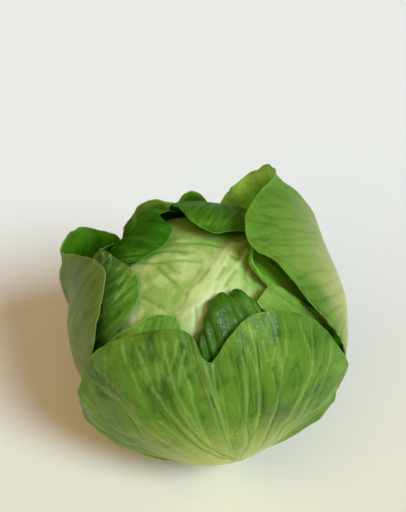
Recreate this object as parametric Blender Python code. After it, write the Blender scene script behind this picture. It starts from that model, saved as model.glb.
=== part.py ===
"""Green cabbage with its loose outer leaves, standing on its cut stem.

Metres, +Z up. The origin is the centre of the stem's cut face, and the photograph's side is -Y.
Twelve loose leaves wrap a dense head in six layers of two. Each leaf is a sheet that grows from
the stem, spreads under the head and follows the round of its own layer out to a waved margin.
Azimuth 0 is +X, 90 is +Y; latitude is counted from the heart, the middle of the head.
"""
import math

import bmesh
import bpy
import numpy as np

MM = 0.001

# Head and stem
HEART_HEIGHT = 0.114
HEAD_RADIUS = 0.086
CROWN_FLATTENING = 0.86
STEM_RADIUS = 0.0175
STEM_SIDES = 40
CUT_FACE_CHAMFER = 0.0012
SCAR_DEPTH = 0.0004
FIT_GAP = 0.0004

# Radius of each layer of leaves where it wraps the head, and its height under the head, inner first
LAYER_RADIUS = (0.0884, 0.0911, 0.0938, 0.0965, 0.0998, 0.1038)
LAYER_FOOT = (0.0264, 0.0236, 0.0208, 0.0178, 0.0136, 0.0088)
LAYER_MIDRIB = (0.0006, 0.0006, 0.0006, 0.0012, 0.0026, 0.0040)
LAYER_VEIN = (0.0003, 0.0003, 0.0003, 0.0004, 0.0006, 0.0008)

# Blades
BLADE_THICKNESS = 0.0010
FOOT_WIDTH = 0.030
NECK_WIDTH = 0.056
ROLL_START = 0.88
JUST_BEFORE_ROLL = 0.985
SHORTEST_ROLL = 1.5
LEAST_TURN = 0.1
ROWS_WRAPPED = 12
ROWS_ROLLED = 3
VEINS = 5
FLARE = 60

# Waves of a margin: a second, shorter swing runs against the main one, and both start halfway along
SECOND_SWING, SECOND_SWING_COUNT = 0.5, 1.7
WAVES_START = 0.5
LIFT_FOR_FULL_WAVES, MOST_WAVES = 5, 1.5

# Share of the blade's length where the midrib is full, and where the veins grow and fade
MIDRIB_FULL = 0.05
MIDRIB_SHARPNESS = 1.4
VEINS_FULL = 0.4
VEINS_FADE, VEINS_FADE_LENGTH = 0.6, 0.35

# Under the head the layers close up on the stem: from this latitude down, over this many degrees
UNDERSIDE_LATITUDE = -56
UNDERSIDE_BLEND = 22

# Midrib of the head's top leaf: it runs up one side and over the crown, and leans to its right
HEAD_RIB_AZIMUTH = 252
HEAD_RIB_HEIGHT = 0.0016
HEAD_RIB_WIDTH = 6.0
HEAD_RIB_LEAN = 0.21
HEAD_RIB_RISES = 0.6
HEAD_RINGS = (4, 8, 12, 17, 22, 28, 37, 48, 61, 76)
HEAD_SPOKES = 44

HEAD_GREEN = (0.46, 0.60, 0.24)
STEM_GREEN = (0.62, 0.64, 0.40)
INNER_GREEN = (0.16, 0.36, 0.04)
OUTER_GREEN = (0.20, 0.33, 0.10)

HEART = np.array([0.0, 0.0, HEART_HEIGHT])


def unit(vectors):
    return vectors / np.maximum(np.linalg.norm(vectors, axis=-1, keepdims=True), 1e-12)


def direction(azimuth, latitude):
    """Unit heading from the heart, both angles in degrees."""
    a, b = np.radians(azimuth), np.radians(latitude)
    return np.stack([np.cos(a) * np.cos(b), np.sin(a) * np.cos(b), np.sin(b)], -1)


def degrees_apart(headings, azimuth, latitude):
    return np.degrees(np.arccos(np.clip(headings @ direction(azimuth, latitude), -1, 1)))


def ease(x):
    x = np.clip(x, 0.0, 1.0)
    return x * x * (3 - 2 * x)


def through(rows, t):
    """Smooth curve through evenly spaced rows, read at t from 0 to 1."""
    rows = np.asarray(rows, float).reshape(len(rows), -1)
    spans = len(rows) - 1
    x = np.clip(np.asarray(t) * spans, 0, spans - 1e-9)
    i = x.astype(int)
    f = (x - i)[:, None]
    padded = np.vstack([2 * rows[0] - rows[1], rows, 2 * rows[-1] - rows[-2]])
    a, b, c, d = padded[i], padded[i + 1], padded[i + 2], padded[i + 3]
    cubic = (3 * b - a - 3 * c + d) * f**3
    return 0.5 * (2 * b + (c - a) * f + (2 * a - 5 * b + 4 * c - d) * f**2 + cubic)


def flattened(radius, headings):
    """A ball of this radius whose upper half is pressed down."""
    up = np.clip(headings[..., 2], 0, 1)
    return radius / np.sqrt(1 - up**2 + (up / CROWN_FLATTENING) ** 2)


def layer_surface(leaf, headings):
    """Distance from the heart to a leaf's own layer, flat under the head, with the leaf's swells."""
    radius = flattened(LAYER_RADIUS[leaf["layer"] - 1], headings)
    latitude = np.degrees(np.arcsin(np.clip(headings[..., 2], -1, 1)))
    under = ease((UNDERSIDE_LATITUDE - latitude) / UNDERSIDE_BLEND)
    radius = radius * (1 - under) + (HEART_HEIGHT - LAYER_FOOT[leaf["layer"] - 1]) * under
    for azimuth, lat, width, depth in leaf.get("swells", ()):
        radius = radius + depth * MM * np.exp(-(degrees_apart(headings, azimuth, lat) / width) ** 2)
    return radius


def fan_lines(leaf, across):
    """Where each line of the fan starts on the stem, spreads at the neck and meets the margin."""
    outline = np.array(leaf["margin"], float)
    to_margin = unit(through(direction(outline[:, 0], outline[:, 1]), across))
    side = across - 0.5
    foot_latitude = -math.degrees(math.acos(STEM_RADIUS / (HEART_HEIGHT - LAYER_FOOT[leaf["layer"] - 1])))
    foot_azimuth = leaf["azimuth"] + np.degrees(side * FOOT_WIDTH / STEM_RADIUS)
    at_foot = direction(foot_azimuth, np.full(len(side), foot_latitude))
    neck_azimuth, neck_latitude = leaf["neck"]
    neck_width = leaf.get("neck_width", NECK_WIDTH)
    sideways = direction(neck_azimuth + 90, 0) * (side * neck_width / HEAD_RADIUS)[:, None]
    at_neck = unit(direction(neck_azimuth, neck_latitude) + sideways)
    return at_foot[:, None], at_neck[:, None], to_margin[:, None]


def even_headings(lines, fractions):
    """Headings along each curved line of the fan, at these fractions of the angle it covers."""
    foot, neck, tip = lines
    u = np.linspace(0, 1, 121)[None, :, None]
    path = unit((1 - u) ** 3 * foot + 3 * u * (1 - u) * neck + u**3 * tip)
    steps = np.linalg.norm(np.diff(path, axis=1), axis=-1)
    travelled = np.concatenate([np.zeros((len(path), 1)), np.cumsum(steps, axis=1)], axis=1)
    places = [np.interp(fractions * line[-1], line, u[0, :, 0]) for line in travelled]
    u = np.array(places)[..., None]
    return unit((1 - u) ** 3 * foot + 3 * u * (1 - u) * neck + u**3 * tip), np.degrees(travelled[:, -1])


def wrapped(leaf, across, fractions):
    """The leaf's sheet on its layer, from the stem, fraction 0, to the start of the margin, 1."""
    headings, angle = even_headings(fan_lines(leaf, across), fractions)
    lift = through(np.array(leaf["margin"], float)[:, 2], across) * MM
    to_margin = angle[:, None] * (1 - fractions)[None, :]
    rise = ease(1 - to_margin / leaf.get("flare", FLARE))
    distance = layer_surface(leaf, headings) + lift * rise
    return HEART + headings * distance[..., None]


def outward_normals(points):
    normals = unit(np.cross(np.gradient(points, axis=0), np.gradient(points, axis=1)))
    return normals if ((points - HEART) * normals).sum() > 0 else -normals


def sheet(leaf, across, along):
    """Middle surface of a leaf: a fan of lines from the stem, its margin rolled and waved."""
    outline = np.array(leaf["margin"], float)
    lift, roll_length, roll_turn = through(outline[:, 2:5], across).T
    points = wrapped(leaf, across, np.clip(along / ROLL_START, 0, 1))
    before, edge = np.moveaxis(wrapped(leaf, across, np.array([JUST_BEFORE_ROLL, 1.0])), 1, 0)
    forward = unit(edge - before)
    outward = unit(np.cross(forward, np.gradient(edge, across, axis=0)))
    outward = outward * np.sign((outward * (edge - HEART)).sum(-1, keepdims=True))
    length = np.maximum(roll_length, SHORTEST_ROLL) * MM
    turn = np.where(np.abs(roll_turn) < LEAST_TURN, LEAST_TURN, roll_turn)
    bend = np.radians(turn) / length
    v = np.clip((along - ROLL_START) / (1 - ROLL_START), 0, 1)
    angle = (bend * length)[:, None] * v[None, :]
    rolled = edge[:, None] + forward[:, None] * (np.sin(angle) / bend[:, None])[..., None]
    rolled = rolled + outward[:, None] * ((1 - np.cos(angle)) / bend[:, None])[..., None]
    points = np.where((v > 0)[None, :, None], rolled, points)
    depth, count, phase = leaf.get("waves", (0, 1, 0))
    turns = 2 * np.pi * count * across
    swing = np.sin(turns + phase) + SECOND_SWING * np.sin(SECOND_SWING_COUNT * turns + 2 * phase)
    swing = depth * MM * swing * np.clip(lift / LIFT_FOR_FULL_WAVES, 0, MOST_WAVES)
    near_edge = ease((along - WAVES_START) / (1 - WAVES_START)) ** 1.5
    return points + outward_normals(points) * (swing[:, None] * near_edge[None, :])[..., None]


def ribs(leaf, across, along):
    """Height of the midrib and of the veins that fan out with it, on the outer face."""
    veins, layer = leaf.get("veins", VEINS), leaf["layer"] - 1
    midrib = LAYER_MIDRIB[layer] * (1 - ease(along)) * ease(along / MIDRIB_FULL)
    on_midrib = np.clip(1 - np.abs(across - 0.5) * (veins + 1) * MIDRIB_SHARPNESS, 0, 1)
    fan = LAYER_VEIN[layer] * ease(along / VEINS_FULL)
    fan = fan * (1 - ease((along - VEINS_FADE) / VEINS_FADE_LENGTH))
    on_vein = 0.5 + 0.5 * np.cos(2 * np.pi * (veins + 1) * across)
    return on_midrib[:, None] * midrib + on_vein[:, None] * fan


def material(name, color, roughness):
    finish = bpy.data.materials.new(name)
    finish.use_nodes = True
    shader = finish.node_tree.nodes["Principled BSDF"]
    shader.inputs["Base Color"].default_value = (*color, 1)
    shader.inputs["Roughness"].default_value = roughness
    shader.inputs["Metallic"].default_value = 0
    return finish


def add_object(name, bm, finish, sharp_degrees=60):
    bmesh.ops.recalc_face_normals(bm, faces=bm.faces)
    mesh = bpy.data.meshes.new(name)
    bm.to_mesh(mesh)
    bm.free()
    mesh.shade_smooth()
    mesh.set_sharp_from_angle(angle=math.radians(sharp_degrees))
    mesh.materials.append(finish)
    obj = bpy.data.objects.new(name, mesh)
    bpy.context.collection.objects.link(obj)
    return obj


def blade(name, finish, **leaf):
    """Closed leaf: both faces carry the same grid, split along the same diagonals."""
    across = np.linspace(0, 1, 2 * (leaf.get("veins", VEINS) + 1) + 1)
    rolled = np.linspace(ROLL_START, 1, leaf.get("rolled_rows", ROWS_ROLLED) + 1)
    along = np.append(np.linspace(0, ROLL_START, ROWS_WRAPPED + 1), rolled[1:])
    middle = sheet(leaf, across, along)
    normals = outward_normals(middle)
    outer = middle + normals * (BLADE_THICKNESS / 2 + ribs(leaf, across, along))[..., None]
    inner = middle - normals * (BLADE_THICKNESS / 2)
    columns, rows = len(across), len(along)
    bm = bmesh.new()
    front, back = [[[bm.verts.new(spot) for spot in line] for line in face] for face in (outer, inner)]
    for i in range(columns - 1):
        for j in range(rows - 1):
            for face in (front, back):
                a, b, c, d = face[i][j], face[i + 1][j], face[i + 1][j + 1], face[i][j + 1]
                bm.faces.new((a, b, c) if (i + j) % 2 else (a, b, d))
                bm.faces.new((a, c, d) if (i + j) % 2 else (b, c, d))
    rim = [(i, 0) for i in range(columns)] + [(columns - 1, j) for j in range(1, rows)]
    rim += [(i, rows - 1) for i in range(columns - 2, -1, -1)] + [(0, j) for j in range(rows - 2, 0, -1)]
    for (i, j), (k, m) in zip(rim, rim[1:] + rim[:1]):
        bm.faces.new((front[i][j], front[k][m], back[k][m]))
        bm.faces.new((front[i][j], back[k][m], back[i][j]))
    return add_object(name, bm, finish)


def head():
    """Dense ball of overlapping leaves, flatter on top, with the broad midrib of its top leaf."""
    finish = material("head_leaf", HEAD_GREEN, 0.45)
    pole = direction(HEAD_RIB_AZIMUTH + 90, 0)
    start = direction(HEAD_RIB_AZIMUTH, 0)
    crown = np.array([0.0, 0.0, 1.0])
    rings = [-a for a in reversed(HEAD_RINGS)] + [0] + list(HEAD_RINGS)
    bm = bmesh.new()

    def point(ring, turn):
        a, b = math.radians(turn), math.radians(ring)
        heading = unit((start * math.cos(a) + crown * math.sin(a)) * math.cos(b) + pole * math.sin(b))
        on_top = ease((math.sin(a) + HEAD_RIB_RISES) / 0.8)
        rib_middle = HEAD_RIB_LEAN * ((turn + 90) % 360 - 90)
        rib = HEAD_RIB_HEIGHT * on_top * math.exp(-(((ring - rib_middle) / HEAD_RIB_WIDTH) ** 2))
        return bm.verts.new(HEART + heading * (flattened(HEAD_RADIUS, heading) - HEAD_RIB_HEIGHT + rib))

    grid = [[point(ring, 360 * k / HEAD_SPOKES) for k in range(HEAD_SPOKES)] for ring in rings]
    ends = [point(-90, 0), point(90, 0)]
    for k in range(HEAD_SPOKES):
        n = (k + 1) % HEAD_SPOKES
        for low, high in zip(grid, grid[1:]):
            bm.faces.new((low[k], low[n], high[n]))
            bm.faces.new((low[k], high[n], high[k]))
        bm.faces.new((ends[0], grid[0][n], grid[0][k]))
        bm.faces.new((ends[1], grid[-1][k], grid[-1][n]))
    return add_object("head", bm, finish)


def stem():
    """Stump from the flat cut face up to the head, with the swollen rings the leaves grow from."""
    finish = material("cut_stem", STEM_GREEN, 0.6)
    top = HEART_HEIGHT - HEAD_RADIUS - FIT_GAP
    side = STEM_RADIUS - FIT_GAP
    profile = [(side - CUT_FACE_CHAMFER, 0), (side, CUT_FACE_CHAMFER)]
    profile += [(side - SCAR_DEPTH * (k % 2), height) for k, height in enumerate(reversed(LAYER_FOOT))]
    profile += [(side - CUT_FACE_CHAMFER, top)]
    turns = [2 * math.pi * k / STEM_SIDES for k in range(STEM_SIDES)]
    bm = bmesh.new()
    loops = []
    for radius, height in profile:
        loops.append([bm.verts.new((radius * math.cos(a), radius * math.sin(a), height)) for a in turns])
    for low, high in zip(loops, loops[1:]):
        for k in range(STEM_SIDES):
            n = (k + 1) % STEM_SIDES
            bm.faces.new((low[k], low[n], high[n], high[k]))
    bm.faces.new(reversed(loops[0]))
    bm.faces.new(loops[-1])
    return add_object("stem", bm, finish, sharp_degrees=40)


# A margin's rows run from the leaf's right edge round its tip to its left edge, as seen from outside:
# azimuth, latitude, lift over the layer in mm, width of the rolled edge in mm, and its turn in degrees


def inner_leaf_left():
    """Bright leaf that stands against the head's left side."""
    margin = [
        (134, 8, 1, 3, 0), (142, 17, 1, 3, 0), (150, 22, 1, 3, 0), (158, 25, 4, 3, 0),
        (166, 31, 5, 3, 0), (174, 36, 2, 4, 0), (186, 41, 0, 4, 0), (198, 45, 0, 4, 0),
        (209, 46, 0, 4, 0), (218, 44, 0, 4, 0), (226, 38, 0, 4, 5), (225, 30, 0, 4, 5),
        (223, 18, 0, 4, 5), (218, 6, 0, 3, 0), (222, -14, 0, 3, 0)]
    finish = material("bright_leaf", INNER_GREEN, 0.4)
    return blade(
        "inner_leaf_left", finish, layer=2, azimuth=190, neck=(188, -45), flare=30,
        waves=(1.2, 3, 0), margin=margin)


def inner_leaf_right():
    """Leaf at the head's right side, its edge rolled outwards."""
    margin = [
        (290, 0, 1, 3, 0), (304, 25, 1, 3, 0), (321, 40, 1, 4, 20), (319, 46, 2, 7, 90),
        (319, 56, 3, 10, 130), (333, 60, 3, 10, 120), (350, 58, 2, 5, 40), (372, 48, 1, 3, 0),
        (385, 30, 1, 3, 0), (395, 5, 1, 3, 0)]
    finish = material("rolled_leaf", INNER_GREEN, 0.4)
    return blade(
        "inner_leaf_right", finish, layer=1, azimuth=345, neck=(345, -45), flare=35,
        rolled_rows=5, margin=margin)


def inner_leaf_back_left():
    """Leaf behind the head at the left, its tip rolled back in a lip."""
    margin = [
        (88, 25, 0, 3, 0), (92, 34, 0, 3, 0), (100, 42, 0, 3, 0), (112, 48, 1, 3, 0),
        (126, 52, 5, 5, -20), (138, 58, 10, 10, -70), (152, 64, 14, 15, -120),
        (168, 68, 14, 15, -130), (184, 69, 11, 11, -100), (197, 66, 5, 6, -40),
        (202, 60, 3, 3, 0), (200, 53, 2, 3, 0), (194, 47, 1, 3, 0), (191, 38, 0.5, 3, 0),
        (189, 28, 0.5, 3, 0), (186, 17, 0.5, 3, 0), (182, 6, 0.5, 3, 0)]
    finish = material("lipped_leaf", INNER_GREEN, 0.4)
    return blade(
        "inner_leaf_back_left", finish, layer=1, azimuth=132, neck=(130, -45), veins=7,
        flare=32, rolled_rows=5, margin=margin)


def curled_leaf_front():
    """Glossy leaf at the front right whose ribbed edge curls in over the head."""
    margin = [
        (262, -5, 1, 3, 0), (266, 12, 2, 6, -20), (269, 24, 4, 10, -60), (273, 35, 6, 14, -85),
        (283, 43, 7, 15, -85), (297, 43, 7, 13, -75), (306, 35, 4, 10, -50), (318, 23, 1, 5, 0),
        (328, 5, 0.5, 3, 0)]
    finish = material("curled_leaf", INNER_GREEN, 0.3)
    return blade(
        "curled_leaf_front", finish, layer=2, azimuth=300, neck=(300, -45),
        waves=(0.9, 5, 0), rolled_rows=5, margin=margin)


def hooked_leaf_front_left():
    """Leaf at the front left with a hooked fold in its edge."""
    margin = [
        (208, -10, 1, 3, 0), (216, 2, 1.5, 4, 0), (223, 13, 2, 5, 10), (229, 21, 3, 6, 40),
        (236, 27, 5, 6, 40), (243, 33, 5, 6, 0), (250, 35, 5, 6, -10), (257, 34, 4, 5, 0),
        (262, 20, 3, 4, 0), (261, 0, 2, 3, 0)]
    finish = material("hooked_leaf", INNER_GREEN, 0.4)
    return blade(
        "hooked_leaf_front_left", finish, layer=3, azimuth=245, neck=(240, -45),
        waves=(0.5, 3, 0), margin=margin)


def back_leaf_over_crown():
    """Leaf draped over the crown from behind."""
    margin = [
        (10, 5, 0, 3, 0), (15, 30, 0, 3, 0), (14, 50, 1, 4, 0), (5, 68, 2, 4, 10),
        (350, 78, 2, 4, 10), (335, 85, 2, 4, 10), (143, 84, 3, 4, 10), (128, 78, 3, 4, 0),
        (120, 70, 3, 4, 0), (117, 60, 2, 3, 0), (111, 40, 1.5, 3, 0), (103, 8, 1, 3, 0)]
    finish = material("crown_leaf", INNER_GREEN, 0.42)
    return blade(
        "back_leaf_over_crown", finish, layer=3, azimuth=75, neck=(78, -45), veins=7,
        waves=(0.6, 4, 0), margin=margin)


def folded_leaf_right():
    """Leaf folded to a flat triangle at the right, between the curled leaf and the tall one."""
    margin = [
        (302, -5, 1.5, 3, 0), (314, 20, 1.5, 3, 0), (304, 38, 2, 3, 0), (306, 41, 2, 3, 0),
        (317, 44, 3, 3, 0), (321, 41, 3, 3, 0), (325, 34, 3, 3, 0), (331, 26, 3, 3, 0),
        (347, 20, 2, 3, 0), (370, 22, 1.5, 3, 0), (390, 16, 1.5, 3, 0), (410, 0, 1, 3, 0)]
    finish = material("folded_leaf", OUTER_GREEN, 0.45)
    return blade(
        "folded_leaf_right", finish, layer=4, azimuth=10, neck=(12, -45), margin=margin)


def back_leaf_left():
    """Leaf that stands out behind the head at the left."""
    margin = [
        (70, 0, 0.5, 3, 0), (80, 16, 1, 4, 0), (95, 20, 2, 6, 0), (106, 24, 5, 8, 10),
        (116, 28, 8, 8, 10), (124, 25, 9, 8, -10), (129, 17, 6, 6, -20), (128, 6, 1, 4, 0),
        (126, -10, 0, 3, 0)]
    finish = material("back_left_leaf", OUTER_GREEN, 0.45)
    return blade(
        "back_leaf_left", finish, layer=4, azimuth=125, neck=(115, -45), flare=45,
        waves=(0.6, 4, 0), margin=margin)


def outer_leaf_left():
    """Large outer leaf at the left, its tip flared out in a bright lip."""
    margin = [
        (134, -24, 0.5, 3, 0), (133, -8, 1, 4, 0), (130, 1, 3, 6, 20), (134, 5, 6, 13, 50),
        (145, 9, 10, 19, 62), (157, 14, 13, 19, 57), (167, 15, 13, 14, 30), (174, 25, 9, 7, 0),
        (188, 36, 4, 4, 0), (203, 38, 3, 4, 0), (214, 27, 3, 4, 0), (219, 11, 2, 3, 0),
        (221, -8, 1, 3, 0), (228, -25, 1, 3, 0)]
    finish = material("outer_left_leaf", OUTER_GREEN, 0.5)
    return blade(
        "outer_leaf_left", finish, layer=5, azimuth=195, neck=(182, -45), veins=9,
        flare=22, waves=(0.8, 5, 0), margin=margin)


def tall_leaf_right():
    """Tall outer leaf that hoods the right side and the back, and rises highest behind the head."""
    margin = [
        (334, -35, 0, 3, 0), (350, -16, 0, 3, 0), (344, 4, 3, 3, 0), (330, 20, 9, 4, 0),
        (325, 35, 11, 5, 0), (323, 48, 12, 5, 0), (320, 59, 12, 5, 0), (335, 69, 13, 5, 0),
        (373, 66, 17, 8, 10), (396, 54, 21, 10, 25), (406, 42, 24, 19, 42),
        (415, 33, 23, 22, 48), (424, 28, 17, 20, 45), (432, 23, 11, 16, 35),
        (439, 16, 8, 10, 15), (446, 6, 4, 4, 0), (450, -8, 1, 3, 0)]
    finish = material("tall_leaf", OUTER_GREEN, 0.5)
    return blade(
        "tall_leaf_right", finish, layer=5, azimuth=10, neck=(15, -45), veins=11, flare=80,
        waves=(0.9, 7, 0.4), swells=[(20, 27, 13, -3), (356, 2, 24, 5.5)], margin=margin)


def outer_leaf_back():
    """Outer leaf at the back with a small curled tip."""
    margin = [
        (78, -38, 1, 3, 0), (86, -20, 3, 3, 0), (87, -4, 5, 4, 0), (87, 8, 5, 6, 10),
        (89, 17, 5, 7, 10), (93, 24, 5, 7, 20), (98, 25, 5, 7, 30), (101, 18, 6, 6, 20),
        (108, 8, 6, 6, 10), (122, 1, 6, 5, 0), (139, -4, 6, 3, 0), (150, -16, 4, 3, 0),
        (156, -30, 2, 3, 0)]
    finish = material("outer_back_leaf", OUTER_GREEN, 0.5)
    return blade(
        "outer_leaf_back", finish, layer=6, azimuth=105, neck=(112, -45), flare=45,
        waves=(1.2, 5, 0), margin=margin)


def outer_leaf_front():
    """The largest outer leaf: it covers the front, with a deep notch at its tip."""
    margin = [
        (227, -37, 2, 5, 5), (215, -30, 10, 7, 15), (215, -16, 4, 5, 0), (222, 9, 1, 4, 0),
        (235, 23, 1, 4, 0), (251, 31, 1, 4, 0), (264, 31, 1, 4, 0), (273, 20, 1, 4, 0),
        (283, 30, 1, 4, 0), (294, 35, 1, 4, 0), (309, 33, 1, 4, 0), (322, 24, 2, 4, 0),
        (330, 9, 4, 4, 0), (339, -11, 8, 4, 0), (338, -27, 9, 5, 10)]
    finish = material("outer_front_leaf", OUTER_GREEN, 0.45)
    return blade(
        "outer_leaf_front", finish, layer=6, azimuth=285, neck=(289, -44),
        neck_width=0.034, veins=11, flare=38, waves=(0.8, 7, 1),
        swells=[(280, -48, 24, 4.5)], margin=margin)


for leftover in list(bpy.data.objects):
    bpy.data.objects.remove(leftover, do_unlink=True)

head()
stem()
inner_leaf_left()
inner_leaf_right()
inner_leaf_back_left()
curled_leaf_front()
hooked_leaf_front_left()
back_leaf_over_crown()
folded_leaf_right()
back_leaf_left()
outer_leaf_left()
tall_leaf_right()
outer_leaf_back()
outer_leaf_front()
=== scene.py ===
"""Looks of the green cabbage: every leaf, the head and the stem in fine meshes with fresh-leaf finishes.

Metres, +Z up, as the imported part. Azimuth 0 is +X and 90 is +Y; latitude is counted from the heart,
the middle of the head. The photograph's side is -Y.
"""

import math

import bpy
import numpy as np
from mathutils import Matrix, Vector, noise


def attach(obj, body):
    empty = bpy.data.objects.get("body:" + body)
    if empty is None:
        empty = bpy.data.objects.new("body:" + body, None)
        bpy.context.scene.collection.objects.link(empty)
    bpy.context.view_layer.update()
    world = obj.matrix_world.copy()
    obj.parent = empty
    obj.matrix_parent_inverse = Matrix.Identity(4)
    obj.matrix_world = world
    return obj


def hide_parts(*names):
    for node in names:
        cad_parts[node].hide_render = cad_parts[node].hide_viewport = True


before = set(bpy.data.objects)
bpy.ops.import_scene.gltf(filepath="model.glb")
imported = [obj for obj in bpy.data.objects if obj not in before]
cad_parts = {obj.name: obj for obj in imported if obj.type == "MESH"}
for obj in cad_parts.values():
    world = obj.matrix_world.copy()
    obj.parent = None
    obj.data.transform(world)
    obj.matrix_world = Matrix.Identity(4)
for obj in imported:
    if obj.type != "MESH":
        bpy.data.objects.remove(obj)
bpy.ops.object.select_all(action="DESELECT")
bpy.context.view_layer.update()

MM = 0.001
HEART = np.array([0.0, 0.0, 0.114])


# The place where the cabbage stands: a plain pale sheet of card, seen from the front at 36 degrees.
# A large cool window lights it from the right front; a warm window at the left and the room fill in.

CAMERA_HEIGHT_DEGREES = 36
CAMERA_DISTANCE = 0.9
AIM_OVER_HEART = 0.046
LENS_MM = 85
FLOOR_SIZE = 8
NEAR_FLOOR_Y, FAR_FLOOR_Y = -0.15, 0.40
MAIN_WINDOW = {"azimuth": -49, "height": 40, "spread": 24, "strength": 3.25, "color": (0.66, 0.85, 0.98)}
SIDE_WINDOW = {"azimuth": -115, "height": 50, "spread": 60, "strength": 1.15, "color": (1.0, 0.70, 0.40)}
ROOM_LIGHT = (1.0, 0.74, 0.46)
ROOM_STRENGTH = 0.15


class Shade:
    """A socket of a finish. Sums written with it add their Math nodes."""

    def __init__(self, finish, socket):
        self.finish, self.socket = finish, socket

    def math(self, operation, *values):
        return self.finish.node("ShaderNodeMath", {"operation": operation}, dict(enumerate(values)))

    def __add__(self, other):
        return self.math("ADD", self, other)

    def __radd__(self, other):
        return self.math("ADD", other, self)

    def __sub__(self, other):
        return self.math("SUBTRACT", self, other)

    def __rsub__(self, other):
        return self.math("SUBTRACT", other, self)

    def __mul__(self, other):
        return self.math("MULTIPLY", self, other)

    def __rmul__(self, other):
        return self.math("MULTIPLY", other, self)

    def between(self, low, high):
        """0 below low and 1 above high, with a soft step from one to the other."""
        inputs = {"Value": self, "From Min": low, "From Max": high}
        return self.finish.node("ShaderNodeMapRange", {"interpolation_type": "SMOOTHSTEP"}, inputs)


class Finish:
    """A procedural material that is written as expressions."""

    def __init__(self, name):
        self.material = bpy.data.materials.new(name)
        self.material.use_nodes = True
        self.tree = self.material.node_tree
        self.surface = self.tree.nodes["Principled BSDF"]

    def node(self, kind, settings, inputs, output=0):
        node = self.tree.nodes.new(kind)
        for setting, value in settings.items():
            setattr(node, setting, value)
        for socket, value in inputs.items():
            if isinstance(value, Shade):
                self.tree.links.new(value.socket, node.inputs[socket])
            else:
                node.inputs[socket].default_value = value
        return Shade(self, node.outputs[output])

    def place(self, output="Object"):
        return self.node("ShaderNodeTexCoord", {}, {}, output)

    def scaled(self, where, scale):
        return self.node("ShaderNodeMapping", {}, {"Vector": where, "Scale": scale})

    def noise(self, where, scale, detail=3, distortion=0.0):
        inputs = {"Vector": where, "Scale": scale, "Detail": detail, "Distortion": distortion}
        return self.node("ShaderNodeTexNoise", {}, inputs, "Fac")

    def painted(self, name):
        """A number kept on the piece's own vertices."""
        return self.node("ShaderNodeAttribute", {"attribute_name": name}, {}, "Fac")

    def mix(self, factor, first, second):
        """Colour between two colours."""
        settings = {"data_type": "RGBA", "clamp_factor": True}
        return self.node("ShaderNodeMix", settings, {0: factor, 6: first, 7: second}, 2)

    def bump(self, height, distance, strength=1.0, normal=None):
        inputs = {"Height": height, "Distance": distance, "Strength": strength}
        if normal is not None:
            inputs["Normal"] = normal
        return self.node("ShaderNodeBump", {}, inputs)

    def set(self, **values):
        """Gives the surface its constants and links, such as Base_Color=... and Roughness=..."""
        for name, value in values.items():
            socket = self.surface.inputs[name.replace("_", " ")]
            if isinstance(value, Shade):
                self.tree.links.new(value.socket, socket)
            else:
                socket.default_value = value


def paint(red, green, blue):
    """Colour as a paint chart states it, 0 to 255, in the linear values that nodes take."""
    parts = [c / 255 for c in (red, green, blue)]
    return (*[c / 12.92 if c <= 0.04045 else ((c + 0.055) / 1.055) ** 2.4 for c in parts], 1.0)


up_angle = math.radians(CAMERA_HEIGHT_DEGREES)
towards_camera = Vector((0, -math.cos(up_angle), math.sin(up_angle)))
picture_up = Vector((0, math.sin(up_angle), math.cos(up_angle)))
aim = Vector(HEART) + picture_up * AIM_OVER_HEART
bpy.ops.object.camera_add(
    location=aim + towards_camera * CAMERA_DISTANCE,
    rotation=(-towards_camera).to_track_quat("-Z", "Y").to_euler())
camera = bpy.context.object
camera.data.lens = LENS_MM
camera.data.sensor_width = 36
bpy.context.scene.camera = camera
bpy.context.scene.view_settings.view_transform = "Standard"

bpy.ops.mesh.primitive_plane_add(size=FLOOR_SIZE)
floor = bpy.context.object
floor.name = "pale_floor"
card = Finish("pale_card")
where = card.place()
# painted light: the card is painted darker and warmer near the front and paler and cooler far back, as the
# lamps' falloff
painted_falloff = card.node("ShaderNodeSeparateXYZ", {}, {"Vector": where}, "Y").between(NEAR_FLOOR_Y, FAR_FLOOR_Y)
cloudy = card.noise(where, 3, detail=2)
card_color = card.mix(painted_falloff, paint(243, 236, 224), paint(249, 252, 253))
card_color = card.mix(cloudy * 0.10, card_color, paint(222, 218, 206))
card.set(Base_Color=card_color, Roughness=0.8, Specular_IOR_Level=0.15)
floor.data.materials.append(card.material)


def add_window(azimuth, height, spread, strength, color):
    """Even light from a wide window: its azimuth, height and width are in degrees."""
    turn, rise = math.radians(azimuth), math.radians(height)
    towards = Vector((math.cos(turn) * math.cos(rise), math.sin(turn) * math.cos(rise), math.sin(rise)))
    bpy.ops.object.light_add(type="SUN", rotation=(-towards).to_track_quat("-Z", "Y").to_euler())
    window = bpy.context.object.data
    window.angle = math.radians(spread)
    window.energy = strength
    window.color = color


add_window(**MAIN_WINDOW)
add_window(**SIDE_WINDOW)

room = bpy.data.worlds.new("room")
room.use_nodes = True
room.node_tree.nodes["Background"].inputs["Color"].default_value = (*ROOM_LIGHT, 1)
room.node_tree.nodes["Background"].inputs["Strength"].default_value = ROOM_STRENGTH
bpy.context.scene.world = room


# The head: a dense ball of leaves that wrap each other tightly, flatter on top. Its outermost leaf
# shows a broad pale midrib that runs up from the front left, with thin veins and shallow folds.

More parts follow.
